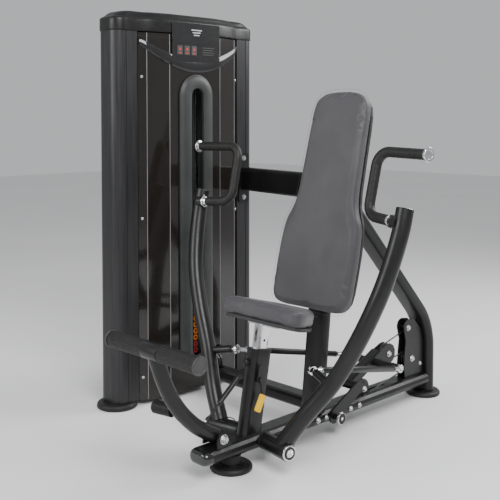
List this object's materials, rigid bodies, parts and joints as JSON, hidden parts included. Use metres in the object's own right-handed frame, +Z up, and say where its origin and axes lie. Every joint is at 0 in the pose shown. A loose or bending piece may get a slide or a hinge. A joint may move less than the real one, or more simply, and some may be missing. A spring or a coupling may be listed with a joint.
{
  "type": "chest press machine",
  "caption": "Seated chest press: two converging arms joined by tie rods to a rocker and cable that lift a weight stack in an enclosed side tower, with seat, backrest and foot pedal.",
  "frame": {"origin": "on the floor under the middle of the front foot disc, in the seat's mid-plane", "axes": "+X to the seated user's left, -Y to the front of the machine, +Z up; the weight tower stands at -X"},
  "size_m": [1.4731, 1.6131, 1.676],
  "materials": {
    "base_spine": "satin black powder coat",
    "backrest_post": "satin black powder coat",
    "rear_brace": "satin black powder coat",
    "seat_post_sleeve": "satin black powder coat",
    "cross_tube": "satin black powder coat",
    "upper_tie_bar": "satin black powder coat",
    "low_pulley_bracket": "satin black powder coat",
    "rear_pulley_bracket": "satin black powder coat",
    "pedal_bracket": "satin black powder coat",
    "tower_base_beam": "satin black powder coat",
    "stack_head": "satin black powder coat",
    "release_lever": "satin black powder coat",
    "press_arm_left": "satin black powder coat",
    "press_arm_right": "satin black powder coat",
    "rocker_arm": "satin black powder coat",
    "pedal_arm": "satin black powder coat",
    "strut_cylinder": "satin black powder coat",
    "column_front": "dark anodised, satin",
    "column_rear": "dark anodised, satin",
    "tower_top_beam": "dark anodised, satin",
    "guide_rod_front": "polished chrome",
    "guide_rod_rear": "polished chrome",
    "seat_inner_post": "polished chrome",
    "arm_cap_left": "polished chrome",
    "arm_cap_right": "polished chrome",
    "handle_bar_left": "polished chrome",
    "handle_bar_right": "polished chrome",
    "tie_rod_left": "polished chrome",
    "tie_rod_right": "polished chrome",
    "strut_rod": "polished chrome",
    "resting_weight_plates": "black painted iron",
    "lifted_weight_plates": "black painted iron",
    "front_foot_disc": "matt black rubber",
    "rear_foot_disc": "matt black rubber",
    "tower_front_foot": "matt black rubber",
    "tower_rear_foot": "matt black rubber",
    "selector_pin": "matt black rubber",
    "handle_grip_left": "matt black rubber",
    "handle_grip_right": "matt black rubber",
    "pedal_roller_left": "matt black rubber",
    "pedal_roller_right": "matt black rubber",
    "front_end_cap": "glossy black plastic",
    "back_panel": "glossy black plastic",
    "top_cap": "glossy black plastic",
    "sign_panel": "glossy black plastic",
    "rocker_pulley": "glossy black plastic",
    "rear_pulley": "glossy black plastic",
    "low_pulley": "glossy black plastic",
    "top_pulley": "glossy black plastic",
    "base_pulley": "glossy black plastic",
    "front_panel": "smoked brown-black sheet, glossy",
    "slot_frame": "grey moulded plastic",
    "back_cushion": "smooth mid-grey upholstery vinyl",
    "seat_cushion": "smooth mid-grey upholstery vinyl",
    "backboard": "black painted board",
    "seat_board": "black painted board",
    "lever_grip": "yellow plastic",
    "tower_cable": "black coated cable",
    "press_cable": "black coated cable",
    "stack_cable": "black coated cable"
  },
  "bodies": {
    "frame": {"base_spine": "base_spine", "front_end_cap": "front_end_cap", "front_foot_disc": "front_foot_disc", "rear_foot_disc": "rear_foot_disc", "rear_brace": "rear_brace", "backrest_post": "backrest_post", "seat_post_sleeve": "seat_post_sleeve", "cross_tube": "cross_tube", "upper_tie_bar": "upper_tie_bar", "low_pulley_bracket": "low_pulley_bracket", "rear_pulley_bracket": "rear_pulley_bracket", "pedal_bracket": "pedal_bracket", "column_front": "column_front", "column_rear": "column_rear", "tower_front_foot": "tower_front_foot", "tower_rear_foot": "tower_rear_foot", "tower_base_beam": "tower_base_beam", "tower_top_beam": "tower_top_beam", "guide_rod_front": "guide_rod_front", "guide_rod_rear": "guide_rod_rear", "back_panel": "back_panel", "front_panel": "front_panel", "slot_frame": "slot_frame", "top_cap": "top_cap", "sign_panel": "sign_panel", "resting_weight_plates": "resting_weight_plates", "tower_cable": "tower_cable", "press_cable": "press_cable", "backboard": "backboard", "back_cushion": "back_cushion"},
    "stack": {"lifted_weight_plates": "lifted_weight_plates", "stack_head": "stack_head", "stack_cable": "stack_cable"},
    "selector": {"selector_pin": "selector_pin"},
    "seat": {"seat_inner_post": "seat_inner_post", "seat_board": "seat_board", "seat_cushion": "seat_cushion"},
    "lever": {"release_lever": "release_lever", "lever_grip": "lever_grip"},
    "arm_left": {"press_arm_left": "press_arm_left", "arm_cap_left": "arm_cap_left", "handle_bar_left": "handle_bar_left", "handle_grip_left": "handle_grip_left"},
    "arm_right": {"press_arm_right": "press_arm_right", "arm_cap_right": "arm_cap_right", "handle_bar_right": "handle_bar_right", "handle_grip_right": "handle_grip_right"},
    "rod_left": {"tie_rod_left": "tie_rod_left"},
    "rod_right": {"tie_rod_right": "tie_rod_right"},
    "rocker": {"rocker_arm": "rocker_arm"},
    "wheel_rocker": {"rocker_pulley": "rocker_pulley"},
    "wheel_rear": {"rear_pulley": "rear_pulley"},
    "wheel_low": {"low_pulley": "low_pulley"},
    "wheel_top": {"top_pulley": "top_pulley"},
    "wheel_base": {"base_pulley": "base_pulley"},
    "pedal": {"pedal_arm": "pedal_arm", "pedal_roller_left": "pedal_roller_left", "pedal_roller_right": "pedal_roller_right"},
    "strut_outer": {"strut_cylinder": "strut_cylinder"},
    "strut_inner": {"strut_rod": "strut_rod"}
  },
  "joints": [
    {"name": "press_left", "type": "hinge", "parent": "frame", "child": "arm_left", "pos_m": [0, 0.115, 0.09], "axis": [0.9848, -0.1736, 0], "range_deg": [0, 35]},
    {"name": "press_right", "type": "hinge", "parent": "frame", "child": "arm_right", "pos_m": [0, 0.115, 0.09], "axis": [0.9848, 0.1736, 0], "range_deg": [0, 35]},
    {"name": "rod_left_swing", "type": "hinge", "parent": "arm_left", "child": "rod_left", "pos_m": [0.193, 0.209, 0.345], "axis": [0.9917, -0.088, 0.0935], "range_deg": [-22, 0]},
    {"name": "rod_right_swing", "type": "hinge", "parent": "arm_right", "child": "rod_right", "pos_m": [-0.193, 0.209, 0.345], "axis": [0.9917, 0.088, -0.0935], "range_deg": [-22, 0]},
    {"name": "rocker_swing", "type": "hinge", "parent": "frame", "child": "rocker", "pos_m": [0, 0.488, 0.079], "axis": [1, 0, 0], "range_deg": [0, 40], "deforming": ["press_cable"]},
    {"name": "stack_lift", "type": "slide", "parent": "frame", "child": "stack", "axis": [0, 0, 1], "range_m": [0, 0.466], "deforming": ["stack_cable"]},
    {"name": "selector_slide", "type": "slide", "parent": "stack", "child": "selector", "axis": [1, 0, 0], "range_m": [0, 0.045]},
    {"name": "seat_height", "type": "slide", "parent": "frame", "child": "seat", "axis": [0, 0.1822, 0.9833], "range_m": [-0.04, 0]},
    {"name": "release_pull", "type": "hinge", "parent": "frame", "child": "lever", "pos_m": [0.03, 0.106, 0.3], "axis": [1, 0, 0], "range_deg": [-20, 0], "stiffness_Nm_per_rad": 2, "springref_deg": 11.46},
    {"name": "pedal_press", "type": "hinge", "parent": "frame", "child": "pedal", "pos_m": [0, -0.07, 0.132], "axis": [1, 0, 0], "range_deg": [0, 28], "stiffness_Nm_per_rad": 25, "springref_deg": -57.3},
    {"name": "strut_swing", "type": "hinge", "parent": "frame", "child": "strut_outer", "pos_m": [0, 0.036, 0.318], "axis": [1, 0, 0], "range_deg": [0, 3]},
    {"name": "strut_stroke", "type": "slide", "parent": "strut_outer", "child": "strut_inner", "axis": [0, -0.7838, -0.621], "range_m": [0, 0.04]},
    {"name": "rocker_pulley_spin", "type": "hinge", "parent": "rocker", "child": "wheel_rocker", "pos_m": [0, 0.89, 0.235], "axis": [1, 0, 0], "range_deg": [-375, 0]},
    {"name": "rear_pulley_spin", "type": "hinge", "parent": "frame", "child": "wheel_rear", "pos_m": [0, 1.056, 0.182], "axis": [1, 0, 0], "range_deg": [0, 670]},
    {"name": "low_pulley_spin", "type": "hinge", "parent": "frame", "child": "wheel_low", "pos_m": [0, 0.725, 0.122], "axis": [1, 0, 0], "range_deg": [0, 695]},
    {"name": "top_pulley_spin", "type": "hinge", "parent": "frame", "child": "wheel_top", "pos_m": [-0.7775, 0.5, 1.462], "axis": [0.8, -0.6, 0], "range_deg": [-430, 0]},
    {"name": "base_pulley_spin", "type": "hinge", "parent": "frame", "child": "wheel_base", "pos_m": [-0.698, 0.55, 0.1255], "axis": [0, 1, 0], "range_deg": [-640, 0]}
  ],
  "couplings": [
    {"joint": "press_right", "follows": "press_left", "ratio": 1},
    {"joint": "rod_left_swing", "follows": "press_left", "ratio": -0.6085},
    {"joint": "rod_right_swing", "follows": "press_left", "ratio": -0.6085},
    {"joint": "rocker_swing", "follows": "press_left", "ratio": 1.1213},
    {"joint": "stack_lift", "follows": "press_left", "m_per_rad": 0.7596},
    {"joint": "rocker_pulley_spin", "follows": "press_left", "ratio": -10.6},
    {"joint": "rear_pulley_spin", "follows": "press_left", "ratio": 18.99},
    {"joint": "low_pulley_spin", "follows": "press_left", "ratio": 19.73},
    {"joint": "top_pulley_spin", "follows": "press_left", "ratio": -12.154},
    {"joint": "base_pulley_spin", "follows": "press_left", "ratio": -18.086},
    {"joint": "strut_swing", "follows": "pedal_press", "ratio": 0.065},
    {"joint": "strut_stroke", "follows": "pedal_press", "m_per_rad": 0.0776}
  ]
}
